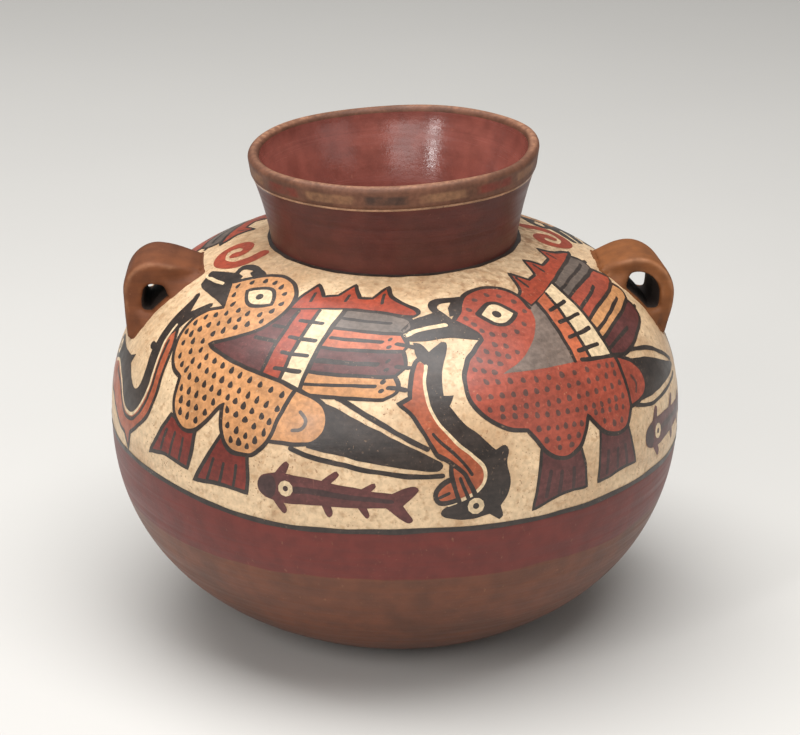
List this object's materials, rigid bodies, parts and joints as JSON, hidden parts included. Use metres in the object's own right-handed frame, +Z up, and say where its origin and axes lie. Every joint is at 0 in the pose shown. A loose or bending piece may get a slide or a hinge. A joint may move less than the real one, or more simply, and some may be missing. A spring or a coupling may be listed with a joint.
{
  "type": "handled jar",
  "caption": "Round-bodied fired clay jar with a short flaring neck, strap handles on the shoulder and a painted bird-and-fish band, for storing liquid or grain.",
  "frame": {"origin": "centre of the flat spot under the base, on the surface that the jar stands on", "axes": "+Z up along the jar's axis, +X through the right handle seen from the front, -Y to the front"},
  "size_m": [0.25, 0.25, 0.2166],
  "materials": {
    "bare_clay": "burnished, satin",
    "cream_slip": "burnished slip, satin",
    "dark_red_slip": "burnished slip, satin",
    "lip_clay": "worn slip, satin",
    "handle_clay": "smoothed bare clay, satin"
  },
  "bodies": {
    "root": {"base_bowl": "bare_clay", "shoulder": "cream_slip", "neck": "dark_red_slip", "lip": "lip_clay", "handle_left": "handle_clay", "handle_right": "handle_clay"}
  },
  "joints": []
}
